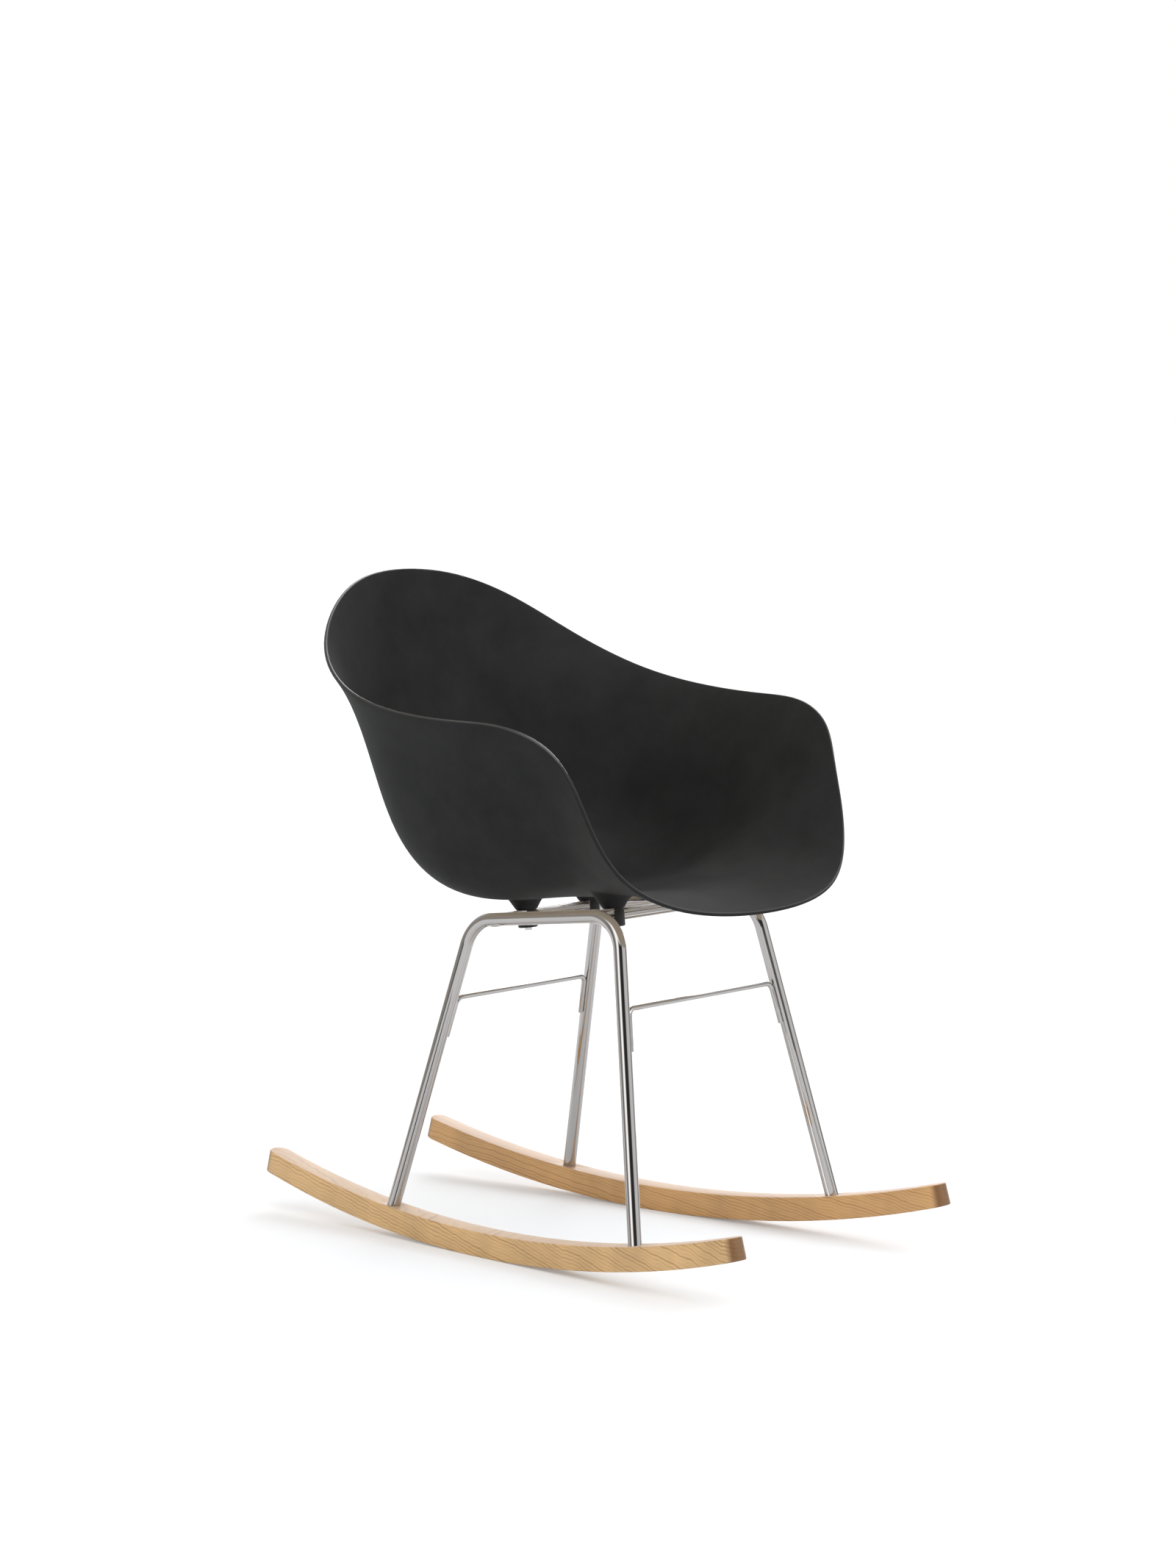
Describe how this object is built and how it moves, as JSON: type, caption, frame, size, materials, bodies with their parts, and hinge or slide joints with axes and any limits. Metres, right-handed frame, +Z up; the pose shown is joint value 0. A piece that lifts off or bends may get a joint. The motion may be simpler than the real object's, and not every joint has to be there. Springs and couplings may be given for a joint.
{
  "type": "rocking armchair",
  "caption": "Rocking armchair: a one-piece moulded bowl seat with arms, carried on a bent chrome tube frame that stands on curved wooden rockers.",
  "frame": {"origin": "on the floor, midway between the rockers, at the line where the rockers touch the floor when the empty chair stands at rest", "axes": "+Z up, the chair faces -Y, +X to the sitter's left"},
  "size_m": [0.5728, 0.804, 0.806],
  "materials": {
    "shell_black": "satin moulded polypropylene",
    "saddle_black": "fine moulded nylon",
    "frame_chrome": "polished chrome plate",
    "rocker_wood": "satin lacquered ash",
    "bolt_steel": "zinc plated",
    "insert_brass": "plain",
    "plug_steel": "plain"
  },
  "bodies": {
    "root": {"cross_tube_front": "frame_chrome", "cross_tube_rear": "frame_chrome", "leg_plug_front_left": "plug_steel", "leg_plug_front_right": "plug_steel", "leg_plug_rear_left": "plug_steel", "leg_plug_rear_right": "plug_steel", "rocker_left": "rocker_wood", "rocker_right": "rocker_wood", "rocker_screw_group": "bolt_steel", "saddle_front_left": "saddle_black", "saddle_front_right": "saddle_black", "saddle_rear_left": "saddle_black", "saddle_rear_right": "saddle_black", "seat_bolt_group": "bolt_steel", "seat_insert_group": "insert_brass", "seat_shell": "shell_black", "side_frame_left": "frame_chrome", "side_frame_right": "frame_chrome", "stretcher_front": "frame_chrome", "stretcher_rear": "frame_chrome"}
  },
  "joints": []
}
